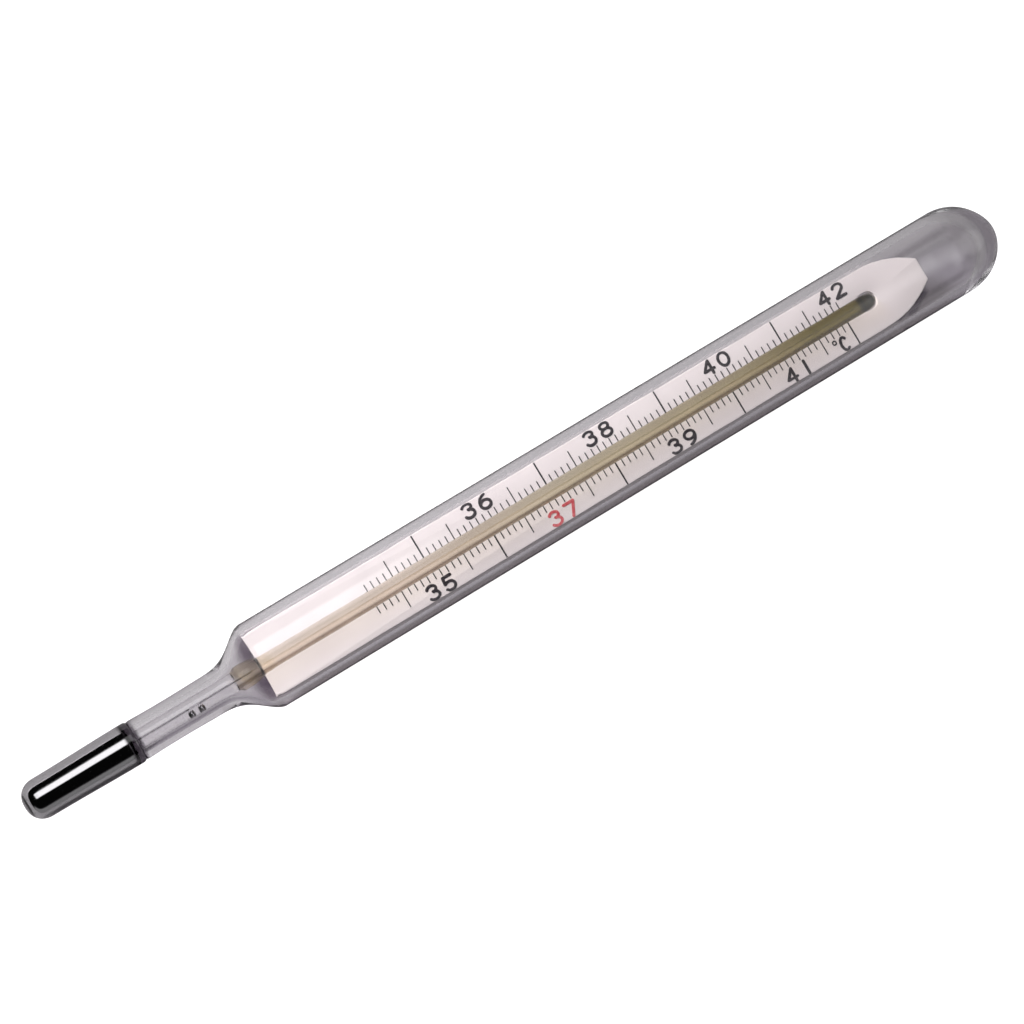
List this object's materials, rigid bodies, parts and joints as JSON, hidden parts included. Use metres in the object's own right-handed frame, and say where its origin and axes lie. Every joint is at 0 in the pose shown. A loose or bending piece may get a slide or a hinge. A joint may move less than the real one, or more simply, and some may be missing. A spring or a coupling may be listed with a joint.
{
  "type": "clinical maximum thermometer",
  "caption": "Clinical maximum thermometer: oval glass sheath with a slim metal-filled bulb, a tinted capillary and an opal plate with a degree scale inside.",
  "frame": {"origin": "under the middle of the thermometer's box, on the surface that it lies on", "axes": "+X along the axis from the bulb to the rounded end, +Z out of the printed side of the scale plate"},
  "size_m": [0.1248, 0.01, 0.008],
  "materials": {
    "clear_glass": "flame-polished clear glass",
    "tinted_glass": "yellow-green tinted capillary glass",
    "opal_glass": "opal glass, smooth",
    "liquid_metal": "mirror-bright liquid metal",
    "black_enamel": "fired black print",
    "red_enamel": "fired red print"
  },
  "bodies": {
    "root": {"bulb_glass": "clear_glass", "sheath": "clear_glass", "contraction_stem": "clear_glass", "capillary_tube": "tinted_glass", "scale_plate": "opal_glass", "reservoir_metal": "liquid_metal", "metal_thread": "liquid_metal", "tenth_marks": "black_enamel", "half_degree_marks": "black_enamel", "degree_marks": "black_enamel", "numerals": "black_enamel", "numeral_37": "red_enamel", "unit_sign": "black_enamel"},
    "column": {"thread_head": "liquid_metal"}
  },
  "joints": [
    {"name": "column_rise", "type": "slide", "parent": "root", "child": "column", "axis": [1, 0, 0], "range_m": [0, 0.0783], "deforming": ["metal_thread"]}
  ]
}
